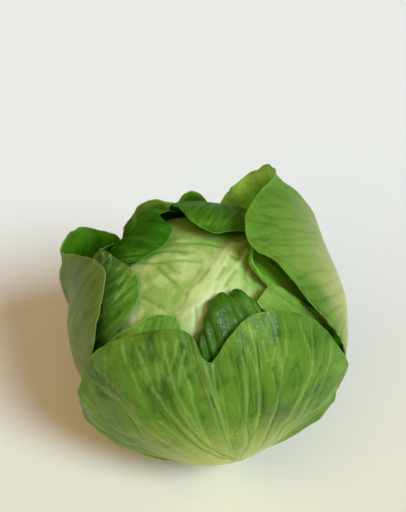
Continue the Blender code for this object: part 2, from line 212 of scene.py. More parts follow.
HEAD_RADIUS = 0.086
CROWN_FLATTENING = 0.86
HEAD_RIB_AZIMUTH = 252
HEAD_RIB_HEIGHT = 0.0016
HEAD_RIB_WIDTH = 6.0
HEAD_RIB_LEAN = 0.21
HEAD_SEGMENTS, HEAD_RINGS = 340, 230
HEAD_UNEVENNESS = ((0.5, 22, 3.0), (0.25, 8, 9.0))  # depth and size of the lumps in mm, and a seed
CREASE_WIDTH, CREASE_DEPTH, CREASE_LIP = 0.0011, 0.0005, 0.0004
CREASE_FADES_IN, CREASE_FADES_OUT = 0.12, 0.3
RIDGE_HEIGHT = 0.0005
CROWDED_TO_CROWN = 0.45
PALE_SPOT, PALE_SPOT_REACH, PALE_SPOT_FADE = (250, 50), 28, 22


def unit(vectors):
    return vectors / np.maximum(np.linalg.norm(vectors, axis=-1, keepdims=True), 1e-12)


def direction(azimuth, latitude):
    """Unit heading from the heart, both angles in degrees."""
    a, b = np.radians(azimuth), np.radians(latitude)
    return np.stack([np.cos(a) * np.cos(b), np.sin(a) * np.cos(b), np.sin(b)], -1)


def ease(x):
    x = np.clip(x, 0.0, 1.0)
    return x * x * (3 - 2 * x)


def through(rows, t):
    """Smooth curve through evenly spaced rows, read at t from 0 to 1."""
    rows = np.asarray(rows, float).reshape(len(rows), -1)
    spans = len(rows) - 1
    x = np.clip(np.asarray(t) * spans, 0, spans - 1e-9)
    i = x.astype(int)
    f = (x - i)[:, None]
    padded = np.vstack([2 * rows[0] - rows[1], rows, 2 * rows[-1] - rows[-2]])
    a, b, c, d = padded[i], padded[i + 1], padded[i + 2], padded[i + 3]
    cubic = (3 * b - a - 3 * c + d) * f**3
    return 0.5 * (2 * b + (c - a) * f + (2 * a - 5 * b + 4 * c - d) * f**2 + cubic)


def flattened(radius, headings):
    """A ball of this radius whose upper half is pressed down."""
    rising = np.clip(headings[..., 2], 0, 1)
    return radius / np.sqrt(1 - rising**2 + (rising / CROWN_FLATTENING) ** 2)


def read_vertices(mesh):
    spots = np.empty(len(mesh.vertices) * 3)
    mesh.vertices.foreach_get("co", spots)
    return spots.reshape(-1, 3)


def write_vertices(mesh, spots):
    mesh.vertices.foreach_set("co", np.ascontiguousarray(spots, float).ravel())
    mesh.update()


def keep_on_vertices(mesh, name, values):
    """Keeps a number for each vertex, which a finish reads under this name."""
    layer = mesh.attributes.new(name, "FLOAT", "POINT")
    layer.data.foreach_set("value", np.ascontiguousarray(values, np.float32).ravel())


def bumpy(spots, size_mm, seed=0.0):
    """Smooth uneven numbers, about -1 to 1, over these spots, with lumps of this size."""
    scaled = spots / (size_mm * MM) + seed
    return np.array([noise.noise(spot) for spot in scaled.reshape(-1, 3)]).reshape(spots.shape[:-1])


def near_line(spots, line):
    """Distance in metres from each spot to a line of points, and how far along it is, 0 to 1."""
    nearest = np.full(len(spots), np.inf)
    place = np.zeros(len(spots))
    for k, (start, end) in enumerate(zip(line, line[1:])):
        step = end - start
        u = np.clip((spots - start) @ step / max(step @ step, 1e-18), 0, 1)
        apart = np.linalg.norm(spots - (start + u[:, None] * step), axis=1)
        closer = apart < nearest
        nearest = np.where(closer, apart, nearest)
        place = np.where(closer, (k + u) / (len(line) - 1), place)
    return nearest, place


# Folds of the head's outer leaves, painted with shade, and ridges, painted with highlight: degrees along
# the midrib's course, degrees to its right
HEAD_FOLDS = [
    [(67.5, -35.5), (66, -25.5), (66.5, -17), (69, -10.5), (70.5, -4), (71, 2.5), (72.5, 8.5)],
    [(69, -36.5), (72, -28.5), (75, -20), (76, -13.5), (76.5, -6.5), (77.5, 2.5)],
    [(82, -18), (83, -12.5), (83.5, -5.5), (85.5, 2.5), (86, 11), (85.5, 13.5)],
    [(92, 17.5), (98.5, 19.5), (105, 23)], [(82.5, 21.5), (92.5, 24), (103, 26)],
    [(80.5, 17.5), (81, 21.5), (81.5, 25)], [(68.5, 10.5), (62.5, 9), (55, 6)],
    [(64.5, -19.5), (60, -13), (56, -6.5), (52.5, -1)], [(45, -22), (43, -14.5), (41.5, -8.5), (40.5, -4)],
    [(67, -15), (62.5, -7), (62.5, -2.5)], [(52.5, 2.5), (48.5, 3.5), (43, 1.5), (40, 0.5)],
    [(45.5, 9), (38.5, 11), (32.5, 11.5)], [(72.5, 18), (66, 17), (59.5, 15)],
    [(74.5, 24.5), (64.5, 22), (57.5, 20.5)], [(91.5, 25), (84, 23.5), (77.5, 21.5)],
    [(83, 29.5), (72, 29.5), (67, 33)]]
HEAD_RIDGES = [
    [(92.5, 18.5), (84, 17.5), (75.5, 17), (68.5, 16.5), (59.5, 15), (52.5, 14), (46.5, 10), (38, 3)],
    [(40.5, 1), (49.5, 4), (58.5, 8), (70.5, 12.5), (82.5, 14.5), (92, 16.5)],
    [(40.5, 16.5), (49, 15.5), (58, 19), (68, 22), (79.5, 24.5), (91.5, 25)]]


def on_head(line):
    """Points on the head under a line of (degrees along the midrib's course, degrees to its right)."""
    course, aside = np.radians(through(line, np.linspace(0, 1, 6 * len(line)))).T[..., None]
    headings = (rib_start * np.cos(course) + crown * np.sin(course)) * np.cos(aside)
    headings = headings + rib_side * np.sin(aside)
    return HEART + headings * (flattened(HEAD_RADIUS, headings) - HEAD_RIB_HEIGHT)[:, None]


rib_start = direction(HEAD_RIB_AZIMUTH, 0)
rib_side = direction(HEAD_RIB_AZIMUTH + 90, 0)
crown = np.array([0.0, 0.0, 1.0])
bpy.ops.mesh.primitive_uv_sphere_add(segments=HEAD_SEGMENTS, ring_count=HEAD_RINGS, radius=1, calc_uvs=True)
head = bpy.context.object
head.name = "cabbage_head"
ball = read_vertices(head.data)
turn = np.arctan2(ball[:, 1], ball[:, 0])
ring = np.arcsin(np.clip(ball[:, 2], -1, 1))
turn = turn + CROWDED_TO_CROWN * np.cos(turn)
headings = (rib_start * np.cos(turn)[:, None] + crown * np.sin(turn)[:, None]) * np.cos(ring)[:, None]
headings = headings + rib_side * np.sin(ring)[:, None]
on_top = ease((np.sin(turn) + 0.6) / 0.8)
course = (np.degrees(turn) + 90) % 360 - 90
rib = on_top * np.exp(-(((np.degrees(ring) - HEAD_RIB_LEAN * course) / HEAD_RIB_WIDTH) ** 2))
smooth_ball = HEART + headings * (flattened(HEAD_RADIUS, headings) - HEAD_RIB_HEIGHT)[:, None]
relief = HEAD_RIB_HEIGHT * rib
for depth, size, seed in HEAD_UNEVENNESS:
    relief = relief + depth * MM * bumpy(smooth_ball, size, seed)
creased = np.zeros(len(ball))
for line in HEAD_FOLDS:
    apart, place = near_line(smooth_ball, on_head(line))
    fade = ease(place / CREASE_FADES_IN) * ease((1 - place) / CREASE_FADES_OUT)
    creased = np.maximum(creased, fade * np.exp(-((apart / CREASE_WIDTH) ** 2)))
    beside = (apart - 3 * CREASE_WIDTH) / (2 * CREASE_WIDTH)
    relief = relief + CREASE_LIP * fade * np.exp(-(beside**2))
ridged = np.zeros(len(ball))
for line in HEAD_RIDGES:
    apart, place = near_line(smooth_ball, on_head(line))
    ridged = np.maximum(ridged, np.exp(-((apart / (1.5 * CREASE_WIDTH)) ** 2)))
relief = relief + RIDGE_HEIGHT * ridged - CREASE_DEPTH * creased
write_vertices(head.data, smooth_ball + headings * relief[:, None])
keep_on_vertices(head.data, "rib", rib)
keep_on_vertices(head.data, "crease_shade", creased)
keep_on_vertices(head.data, "ridge_highlight", ridged)
from_pale_spot = np.degrees(np.arccos(np.clip(headings @ direction(*PALE_SPOT), -1, 1)))
keep_on_vertices(head.data, "green", ease((from_pale_spot - PALE_SPOT_REACH) / PALE_SPOT_FADE))
bpy.ops.object.shade_smooth()

head_leaf = Finish("head_leaf_skin")
where = head_leaf.place()
patches = head_leaf.noise(where, 38, detail=4, distortion=0.4)
specks = head_leaf.noise(where, 150, detail=3)
tone = patches * 0.7 + specks * 0.3
head_color = head_leaf.mix(tone.between(0.42, 0.58), paint(142, 174, 82), paint(184, 204, 126))
head_color = head_leaf.mix(tone.between(0.56, 0.70), head_color, paint(206, 218, 164))
head_color = head_leaf.mix(head_leaf.painted("rib") * 0.6, head_color, paint(204, 212, 146))
# greener away from the pale spot on top: partly the head's own deeper green under the outer leaves, partly
# painted shade where they cover it
head_color = head_leaf.mix(head_leaf.painted("green") * 0.75, head_color, paint(112, 160, 52))
# painted highlight: the raised ridges are painted paler
head_color = head_leaf.mix(head_leaf.painted("ridge_highlight") * 0.45, head_color, paint(216, 224, 164))
# painted shade: the head's folds are painted a darker green
head_color = head_leaf.mix(head_leaf.painted("crease_shade") * 0.6, head_color, paint(98, 134, 40))
fine = head_leaf.noise(where, 900, detail=2)
head_leaf.set(
    Base_Color=head_color, Roughness=0.42, Specular_IOR_Level=0.3,
    Subsurface_Weight=0.2, Subsurface_Radius=(0.8, 1.0, 0.3), Subsurface_Scale=0.004,
    Normal=head_leaf.bump(fine + specks, distance=0.0002, strength=0.4))
head.data.materials.append(head_leaf.material)
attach(head, "root")
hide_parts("head")


# The stem: the cut stump that the head and all the loose leaves grow from. Rings of scars go round
# it where leaves were picked, and the saw-cut face that it stands on is dry and fibrous.

STEM_RADIUS = 0.0175
FIT_GAP = 0.0004
CUT_FACE_CHAMFER = 0.0012
STEM_SIDES = 96
SCAR_HEIGHTS = (0.0012, 0.0088, 0.0136, 0.0178, 0.0208, 0.0236, 0.0264, 0.0276)
SCAR_DEPTH = 0.0004
SHARP_EDGE_DEGREES = 40

stalk_radius = STEM_RADIUS - FIT_GAP
bpy.ops.mesh.primitive_circle_add(
    vertices=STEM_SIDES, radius=stalk_radius - CUT_FACE_CHAMFER, fill_type="NGON")
stem = bpy.context.object
stem.name = "cut_stem"
bpy.ops.object.mode_set(mode="EDIT")
bpy.ops.mesh.select_mode(type="EDGE")
bpy.ops.mesh.select_all(action="SELECT")
bpy.ops.mesh.region_to_loop()
height, radius = 0.0, stalk_radius - CUT_FACE_CHAMFER
for scar, top in enumerate(SCAR_HEIGHTS):
    wanted = stalk_radius - SCAR_DEPTH * (scar % 2)
    bpy.ops.mesh.extrude_edges_move(TRANSFORM_OT_translate={"value": (0, 0, top - height)})
    bpy.ops.transform.resize(value=(wanted / radius, wanted / radius, 1))
    height, radius = top, wanted
bpy.ops.mesh.edge_face_add()
bpy.ops.mesh.select_all(action="SELECT")
bpy.ops.mesh.normals_make_consistent(inside=False)
bpy.ops.object.mode_set(mode="OBJECT")
bpy.ops.object.shade_smooth_by_angle(angle=math.radians(SHARP_EDGE_DEGREES))

stalk = Finish("cut_stalk")
where = stalk.place()
fibres = stalk.noise(stalk.scaled(where, (1, 1, 0.1)), 600, detail=3)
stalk_color = stalk.mix(fibres.between(0.3, 0.7), paint(208, 206, 158), paint(176, 172, 118))
stalk.set(Base_Color=stalk_color, Roughness=0.7, Normal=stalk.bump(fibres, distance=0.0003, strength=0.8))
stem.data.materials.append(stalk.material)
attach(stem, "root")
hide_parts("stem")


# The bright leaf against the head's left side. It is a living sheet that grows from the stem, spreads
# under the head and follows the round of its layer out to a thin margin. The other loose leaves are
# made in the same way, so the tools that grow, vein, crumple and finish a leaf stand here.

LAYER_RADIUS = (0.0884, 0.0911, 0.0938, 0.0965, 0.0998, 0.1038)
LAYER_FOOT = (0.0264, 0.0236, 0.0208, 0.0178, 0.0136, 0.0088)
BLADE_THICKNESS = 0.0008
FOOT_WIDTH = 0.030
NECK_WIDTH = 0.056
ROLL_START = 0.88
JUST_BEFORE_ROLL = 0.985
SHORTEST_ROLL = 1.5
LEAST_TURN = 0.1
FLARE = 60
UNDERSIDE_LATITUDE = -56
UNDERSIDE_BLEND = 22
ROLLED_SHARE = 0.22
CROWDED_TO_MARGIN = 0.85
LIFT_OF_FULL_WAVES = 5
FINE_NICKS, BROAD_NICKS = 60, 23
VEIN_HEIGHT = 0.9
LUMPS = ((0.6, 9, 0), (0.35, 4, 7), (1.0, 20, 3))  # share of the pucker, size in mm, and a seed
BLISTER, BLISTER_REACH = 0.8, 5
RIB_WANDER, RIB_WANDER_SIZE = 1.6, 16
FRILL, FRILL_SIZE = 0.9, 7


def layer_surface(leaf, headings):
    """Distance from the heart to a leaf's own layer, flat under the head, with the leaf's swells."""
    radius = flattened(LAYER_RADIUS[leaf["layer"] - 1], headings)
    latitude = np.degrees(np.arcsin(np.clip(headings[..., 2], -1, 1)))
    under = ease((UNDERSIDE_LATITUDE - latitude) / UNDERSIDE_BLEND)
    radius = radius * (1 - under) + (HEART[2] - LAYER_FOOT[leaf["layer"] - 1]) * under
    for azimuth, middle, width, depth in leaf.get("swells", ()):
        apart = np.degrees(np.arccos(np.clip(headings @ direction(azimuth, middle), -1, 1)))
        radius = radius + depth * MM * np.exp(-((apart / width) ** 2))
    return radius


def fan_lines(leaf, across):
    """Where each line of the fan starts on the stem, spreads at the neck and meets the margin."""
    outline = np.array(leaf["margin"], float)
    to_margin = unit(through(direction(outline[:, 0], outline[:, 1]), across))
    side = across - 0.5
    foot_latitude = -math.degrees(math.acos(STEM_RADIUS / (HEART[2] - LAYER_FOOT[leaf["layer"] - 1])))
    foot_azimuth = leaf["azimuth"] + np.degrees(side * FOOT_WIDTH / STEM_RADIUS)
    at_foot = direction(foot_azimuth, np.full(len(side), foot_latitude))
    neck_azimuth, neck_latitude = leaf["neck"]
    neck_width = leaf.get("neck_width", NECK_WIDTH)
    sideways = direction(neck_azimuth + 90, 0) * (side * neck_width / HEAD_RADIUS)[:, None]
    at_neck = unit(direction(neck_azimuth, neck_latitude) + sideways)
    return at_foot[:, None], at_neck[:, None], to_margin[:, None]


def even_headings(lines, fractions):
    """Headings along each curved line of the fan, at these fractions of the angle it covers."""
    foot, neck, tip = lines
    u = np.linspace(0, 1, 121)[None, :, None]
    path = unit((1 - u) ** 3 * foot + 3 * u * (1 - u) * neck + u**3 * tip)
    steps = np.linalg.norm(np.diff(path, axis=1), axis=-1)
    travelled = np.concatenate([np.zeros((len(path), 1)), np.cumsum(steps, axis=1)], axis=1)
    u = np.array([np.interp(fractions * line[-1], line, u[0, :, 0]) for line in travelled])[..., None]
    return unit((1 - u) ** 3 * foot + 3 * u * (1 - u) * neck + u**3 * tip), np.degrees(travelled[:, -1])


def wrapped(leaf, across, fractions):
    """The leaf's sheet on its layer, from the stem, fraction 0, to the start of the margin, 1."""
    headings, angle = even_headings(fan_lines(leaf, across), fractions)
    lift = through(np.array(leaf["margin"], float)[:, 2], across) * MM
    to_margin = angle[:, None] * (1 - fractions)[None, :]
    rise = ease(1 - to_margin / leaf.get("flare", FLARE))
    return HEART + headings * (layer_surface(leaf, headings) + lift * rise)[..., None]


def outward_normals(points):
    """Unit normals of a sheet, away from the heart."""
    normals = unit(np.cross(np.gradient(points, axis=0), np.gradient(points, axis=1)))
    return normals if ((points - HEART) * normals).sum() > 0 else -normals


def sheet(leaf, across, along):
    """Middle surface of a leaf: a fan of lines from the stem, its margin rolled and waved."""
    outline = np.array(leaf["margin"], float)
    lift, roll_length, roll_turn = through(outline[:, 2:5], across).T
    points = wrapped(leaf, across, np.clip(along / ROLL_START, 0, 1))
    before, edge = np.moveaxis(wrapped(leaf, across, np.array([JUST_BEFORE_ROLL, 1.0])), 1, 0)
    forward = unit(edge - before)
    outward = unit(np.cross(forward, np.gradient(edge, across, axis=0)))
    outward = outward * np.sign((outward * (edge - HEART)).sum(-1, keepdims=True))
    length = np.maximum(roll_length, SHORTEST_ROLL) * MM
    turn = np.where(np.abs(roll_turn) < LEAST_TURN, LEAST_TURN, roll_turn)
    bend = np.radians(turn) / length
    v = np.clip((along - ROLL_START) / (1 - ROLL_START), 0, 1)
    angle = (bend * length)[:, None] * v[None, :]
    rolled = edge[:, None] + forward[:, None] * (np.sin(angle) / bend[:, None])[..., None]
    rolled = rolled + outward[:, None] * ((1 - np.cos(angle)) / bend[:, None])[..., None]
    points = np.where((v > 0)[None, :, None], rolled, points)
    depth, count, phase = leaf.get("waves", (0, 1, 0))
    swing = np.sin(2 * np.pi * count * across + phase)
    swing = swing + 0.5 * np.sin(3.4 * np.pi * count * across + 2 * phase)
    swing = depth * MM * swing * np.clip(lift / LIFT_OF_FULL_WAVES, 0, 1.5)
    near_edge = ease((along - 0.5) / 0.5) ** 1.5
    return points + outward_normals(points) * (swing[:, None] * near_edge[None, :])[..., None]


def branching(pairs, reach=0.46, bow=0.75, strength=1.0, seed=1):
    """Veins of a leaf as lines of (across, along): a midrib, and pairs that leave it and fork."""
    base, top, end = 0.06, 0.72, 0.97
    chance = np.random.default_rng(seed)
    midrib = [(0.5, 0.0), (0.5, 0.35), (0.5, 0.7), (0.5, 0.93)]
    veins = [dict(line=midrib, width=(3.4, 0.5), height=strength, taper=0.75)]
    u = np.linspace(0, 1, 12)
    for k in range(pairs):
        share = k / max(pairs - 1, 1)
        for side in (-1, 1):
            start = base + (top - base) * (share + 0.04 * chance.uniform(-1, 1))
            spread = side * (reach + (0.09 - reach) * share) * (1 + 0.06 * chance.uniform(-1, 1))
            t = 0.5 + spread * u**bow
            s = start + (end - start) * u
            veins.append(dict(line=list(zip(t, s)), width=(1.3, 0.35), height=0.55 * strength, taper=0.75))
            for fork, aside in ((4, 0.35), (7, -0.3)):
                v = np.linspace(0, 1, 8)
                gap = side * reach / pairs * aside * (1 + 0.4 * chance.uniform(-1, 1)) * 1.6
                t_fork = t[fork] + (t[-1] - t[fork]) * v + gap * v**0.8
                s_fork = s[fork] + (0.96 - s[fork]) * v
                veins.append(dict(
                    line=list(zip(t_fork, s_fork)), width=(0.8, 0.25), height=0.3 * strength, taper=0.75))
    return veins


def fanning(count, strength=0.4, seed=1):
    """Veins that spread from the foot of a leaf like a fan, as lines of (across, along)."""
    chance = np.random.default_rng(seed)
    veins = []
    for k in range(count):
        tip = (k + 0.5 + 0.3 * chance.uniform(-1, 1)) / count
        bend = 0.5 + 0.75 * (tip - 0.5)
        line = [(0.5 + 0.4 * (tip - 0.5), 0.08), (bend, 0.35), (tip, 0.7)]
        line = line + [(tip + 0.02 * chance.uniform(-1, 1), 0.96)]
        veins.append(dict(line=line, width=(1.8, 0.6), height=strength, taper=0.6))
        for side in (-1, 1):
            fork = 0.45 + 0.3 * chance.uniform(0, 1)
            start = bend + (tip - bend) * (fork - 0.35) / 0.35
            end = tip + side * 0.45 / count
            halfway = (0.5 * (start + end) + side * 0.1 / count, 0.5 * (fork + 0.95))
            line = [(start, fork), halfway, (end, 0.95)]
            veins.append(dict(line=line, width=(0.9, 0.4), height=0.6 * strength, taper=0.6))
    return veins


def lines_of(lines, width, height):
    """Single folds, sunk where their height is below 0, or thin ridges."""
    return [dict(line=line, width=(width, 0.7 * width), height=height, taper=0.5) for line in lines]


def at(points, across, along, line):
    """Points of the leaf's sheet under a line of (across, along) pairs."""
    line = np.array(line, float)
    t = np.interp(np.linspace(0, len(line) - 1, 4 * len(line)), np.arange(len(line)), line[:, 0])
    s = np.interp(np.linspace(0, len(line) - 1, 4 * len(line)), np.arange(len(line)), line[:, 1])
    i = np.clip(np.searchsorted(across, t) - 1, 0, len(across) - 2)
    j = np.clip(np.searchsorted(along, s) - 1, 0, len(along) - 2)
    f = ((t - across[i]) / (across[i + 1] - across[i]))[:, None]
    g = ((s - along[j]) / (along[j + 1] - along[j]))[:, None]
    low = points[i, j] * (1 - f) + points[i + 1, j] * f
    high = points[i, j + 1] * (1 - f) + points[i + 1, j + 1] * f
    return low * (1 - g) + high * g


def grow_leaf(
        name, node, leaf, faces, veins, pucker=0.25, ribs=(0, 0), crowding=(0.5, 0.0),
        ragged=0.012, seed=1.0):
    """One leaf: its sheet in a fine grid, veined and puckered, with a thin blade all over."""
    columns, rows = faces
    bpy.ops.mesh.primitive_grid_add(x_subdivisions=columns, y_subdivisions=rows, size=1, calc_uvs=True)
    piece = bpy.context.object
    piece.name = name
    flat = read_vertices(piece.data)
    i = np.rint((flat[:, 0] + 0.5) * columns).astype(int)
    j = np.rint((flat[:, 1] + 0.5) * rows).astype(int)
    across = np.linspace(0, 1, columns + 1)
    place, share = crowding
    crowded = np.sin(2 * np.pi * (across - place)) + math.sin(2 * math.pi * place)
    across = across - share * crowded / (2 * math.pi)
    rolled = int(rows * ROLLED_SHARE)
    wrapped_rows = ROLL_START * np.linspace(0, 1, rows - rolled + 1) ** CROWDED_TO_MARGIN
    along = np.append(wrapped_rows, np.linspace(ROLL_START, 1, rolled + 1)[1:])
    points = sheet(leaf, across, along)

    # the margin is torn and nibbled here and there
    chance = np.random.default_rng(int(seed * 7) + 5)
    nicks = 0.6 * through(chance.uniform(0, 1, FINE_NICKS), across)[:, 0] ** 2
    nicks = nicks + 0.4 * through(chance.uniform(0, 1, BROAD_NICKS), across)[:, 0]
    reach = 1 - ragged * np.clip(nicks, 0, 1)
    trimmed = np.empty_like(points)
    for column in range(columns + 1):
        wanted = along * (1 + (reach[column] - 1) * along**6)
        for axis in range(3):
            trimmed[column, :, axis] = np.interp(wanted, along, points[column, :, axis])
    points = trimmed
    normals = outward_normals(points)
    spots = points.reshape(-1, 3)
    t, s = [grid.ravel() for grid in np.meshgrid(across, along, indexing="ij")]

    # veins stand out, folds sink in, and the blade between them is puckered and ribbed
    raised, sunk = np.zeros(len(spots)), np.zeros(len(spots))
    beside = np.full(len(spots), 1.0)
    for item in veins:
        apart, place = near_line(spots, at(points, across, along, item["line"]))
        first, last = item["width"]
        width = (first + (last - first) * place) * MM
        band = np.exp(-((apart / width) ** 2)) * (1 - item["taper"] * place) * abs(item["height"])
        if item["height"] > 0:
            raised = np.maximum(raised, band)
            beside = np.minimum(beside, apart)
        else:
            sunk = np.maximum(sunk, band)
    blister = ease(beside / (BLISTER_REACH * MM))
    lumps = sum(share * bumpy(spots, size, seed + more) for share, size, more in LUMPS)
    lift = VEIN_HEIGHT * MM * raised - MM * sunk + pucker * MM * (lumps + BLISTER * blister)
    rib_count, rib_depth = ribs
    wander = RIB_WANDER * bumpy(spots, RIB_WANDER_SIZE, seed + 5)
    swell = np.sin(2 * np.pi * rib_count * t + wander)
    lift = lift + rib_depth * MM * swell * ease((s - 0.5) / 0.3)
    frill = bumpy(spots, FRILL_SIZE, seed + 20) * ease((s - 0.8) / 0.2) * FRILL * MM
    settle = ease(s / 0.12)
    moved = points + normals * ((lift + frill) * settle).reshape(points.shape[:2])[..., None]
    order = i * (rows + 1) + j
    write_vertices(piece.data, moved.reshape(-1, 3)[order])
    edge = np.clip(1 - np.minimum(6 * np.minimum(t, 1 - t), 4 * (1 - s)), 0, 1)
    painted = {"vein": raised, "crease_shade": sunk, "edge": edge, "foot": 1 - s}
    for attribute, values in painted.items():
        keep_on_vertices(piece.data, attribute, values[order])

    if ((points - HEART) * np.cross(np.gradient(points, axis=0), np.gradient(points, axis=1))).sum() < 0:
        bpy.ops.object.mode_set(mode="EDIT")
        bpy.ops.mesh.select_all(action="SELECT")
        bpy.ops.mesh.flip_normals()
        bpy.ops.object.mode_set(mode="OBJECT")

    # the first of two places for finishes is the outside's, and Solidify gives the inside the second
    piece.data.materials.append(None)
    piece.data.materials.append(None)
    blade = piece.modifiers.new("blade", "SOLIDIFY")
    blade.thickness = BLADE_THICKNESS
    blade.offset = 0
    blade.material_offset = 1
    bpy.ops.object.modifier_apply(modifier=blade.name)
    bpy.ops.object.shade_smooth()
    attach(piece, "root")
    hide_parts(node)
    return piece


STREAK_SCALE, FINE_STREAK_SCALE = (46, 3.2, 1), (150, 9, 1)
STREAK_CONTRAST = 0.11
FOOT_FADE = 0.5
WAX = (150, 172, 132)


def leaf_skin(
        name, dark, green, light, vein, gloss=0.42, shine=0.12, bloom=0.0, foot=(150, 172, 84),
        foot_start=0.35, rim=None, veined=1.2, streaky=0.7, quilted=0.6):
    """Finish of one face of a leaf: streaks along the fan, mottled greens, pale veins, thin wax, and
    painted shade in its folds.
    """
    skin = Finish(name)
    where = skin.place()
    grid = skin.place("UV")
    streaks = skin.noise(skin.scaled(grid, STREAK_SCALE), 1.0, detail=4, distortion=0.3)
    fine_streaks = skin.noise(skin.scaled(grid, FINE_STREAK_SCALE), 1.0, detail=2)
    mottle = skin.noise(where, 55, detail=4, distortion=0.5)
    broad = skin.noise(where, 17, detail=2)
    tone = streaks * (0.4 * streaky) + fine_streaks * (0.2 * streaky) + mottle * 0.3 + broad * 0.3
    middle = 0.3 + 0.3 * streaky
    color = skin.mix(tone.between(middle - STREAK_CONTRAST, middle + 0.02), paint(*dark), paint(*green))
    color = skin.mix(tone.between(middle + 0.02, middle + 0.16), color, paint(*light))
    # the foot colour: the leaf's own paler base on most leaves, and painted shade on the bright leaf
    near_foot = skin.painted("foot").between(foot_start, foot_start + FOOT_FADE)
    color = skin.mix(near_foot, color, paint(*foot))
    color = skin.mix(skin.painted("vein") * veined, color, paint(*vein))
    # painted shade: the sunk folds are painted darker than the leaf's green
    color = skin.mix(skin.painted("crease_shade") * 0.6, color, paint(*[0.7 * part for part in dark]))
    color = skin.mix(skin.painted("edge").between(0.95, 0.99) * 0.45, color, paint(*(rim or light)))
    net = skin.node(
        "ShaderNodeTexVoronoi", {"feature": "DISTANCE_TO_EDGE"},
        {"Vector": where, "Scale": 260, "Randomness": 1.0}, "Distance")
    lines = 1 - net.between(0.0, 0.09)
    color = skin.mix(lines * 0.12 * broad, color, paint(*vein))
    if bloom:
        waxy = skin.noise(where, 26, detail=3, distortion=0.8).between(0.45, 0.7) * bloom
        color = skin.mix(waxy, color, paint(*WAX))
    grain = skin.noise(where, 1500, detail=2)
    cells = skin.node(
        "ShaderNodeTexVoronoi", {"feature": "SMOOTH_F1"},
        {"Vector": where, "Scale": 150, "Smoothness": 0.6}, "Distance")
    height = lines * 0.3 + fine_streaks * 0.6 + grain * 0.12 + mottle * 0.6 - cells * (1.6 * quilted)
    skin.set(
        Base_Color=color, Roughness=gloss + (mottle - 0.5) * 0.25, Specular_IOR_Level=shine,
        Subsurface_Weight=0.7, Subsurface_Radius=(0.6, 1.0, 0.15), Subsurface_Scale=0.003,
        Normal=skin.bump(height, distance=0.0006, strength=0.7))
    return skin.material


# Pale streaks and crumples of the bright leaf's margin, as lines of (across, along)
BRIGHT_STREAKS = [
    [(0.625, 0.802), (0.613, 0.843), (0.588, 0.88), (0.568, 1)],
    [(0.568, 0.838), (0.537, 0.885), (0.52, 1)],
    [(0.49, 0.865), (0.473, 1)],
    [(0.255, 0.86), (0.343, 0.838), (0.39, 0.828)],
    [(0.328, 0.902), (0.385, 0.858), (0.427, 0.828)],
    [(0.378, 0.968), (0.425, 0.865), (0.468, 0.825)]]

# A row of a margin: azimuth and latitude in degrees, how far it lifts off its layer and how long its
# roll is in mm, and the turn of the roll in degrees, outwards above 0
inner_leaf_left = grow_leaf(
    "bright_leaf_left", "inner_leaf_left",
    dict(layer=2, azimuth=190, neck=(188, -45), flare=30, waves=(1.2, 3, 0), margin=[
        (134, 8, 1, 3, 0), (142, 17, 1, 3, 0), (150, 22, 1, 3, 0), (158, 25, 4, 3, 0),
        (166, 31, 5, 3, 0), (174, 36, 2, 4, 0), (186, 41, 0, 4, 0), (198, 45, 0, 4, 0),
        (209, 46, 0, 4, 0), (218, 44, 0, 4, 0), (226, 38, 0, 4, 5), (225, 30, 0, 4, 5),
        (223, 18, 0, 4, 5), (218, 6, 0, 3, 0), (222, -14, 0, 3, 0)]),
    (110, 110), branching(7, strength=0.7, seed=3) + lines_of(BRIGHT_STREAKS, 1.1, 0.6), seed=3.0)
# Both faces of the bright leaf are painted near-black green from the foot up over the lower blade, fading
# towards the margin: painted shade where it lies deep among its neighbours.
inner_leaf_left.data.materials[0] = leaf_skin(
    "bright_leaf_outside", (36, 86, 8), (86, 140, 36), (138, 178, 74), (166, 196, 112),
    foot=(14, 46, 2), foot_start=0.06)
inner_leaf_left.data.materials[1] = leaf_skin(
    "bright_leaf_inside", (36, 86, 10), (80, 138, 30), (128, 174, 64), (154, 190, 108),
    foot=(14, 46, 2), foot_start=0.06)


# The leaf at the head's right side. Its thin margin rolls outwards in a round lip.

inner_leaf_right = grow_leaf(
    "rolled_leaf_right", "inner_leaf_right",
    dict(layer=1, azimuth=345, neck=(345, -45), flare=35, margin=[
        (290, 0, 1, 3, 0), (304, 25, 1, 3, 0), (321, 40, 1, 4, 20), (319, 46, 2, 7, 90),
        (319, 56, 3, 10, 130), (333, 60, 3, 10, 120), (350, 58, 2, 5, 40), (372, 48, 1, 3, 0),
        (385, 30, 1, 3, 0), (395, 5, 1, 3, 0)]),
    (80, 90), branching(7, strength=0.6, seed=5), seed=5.0)
inner_leaf_right.data.materials[0] = leaf_skin(
    "rolled_leaf_outside", (70, 120, 26), (108, 158, 44), (150, 190, 76), (160, 196, 92))
inner_leaf_right.data.materials[1] = leaf_skin(
    "rolled_leaf_inside", (84, 146, 40), (126, 186, 62), (160, 204, 92), (170, 208, 104))


# The leaf behind the head at the left. Its tip rolls right back in a thick round lip.

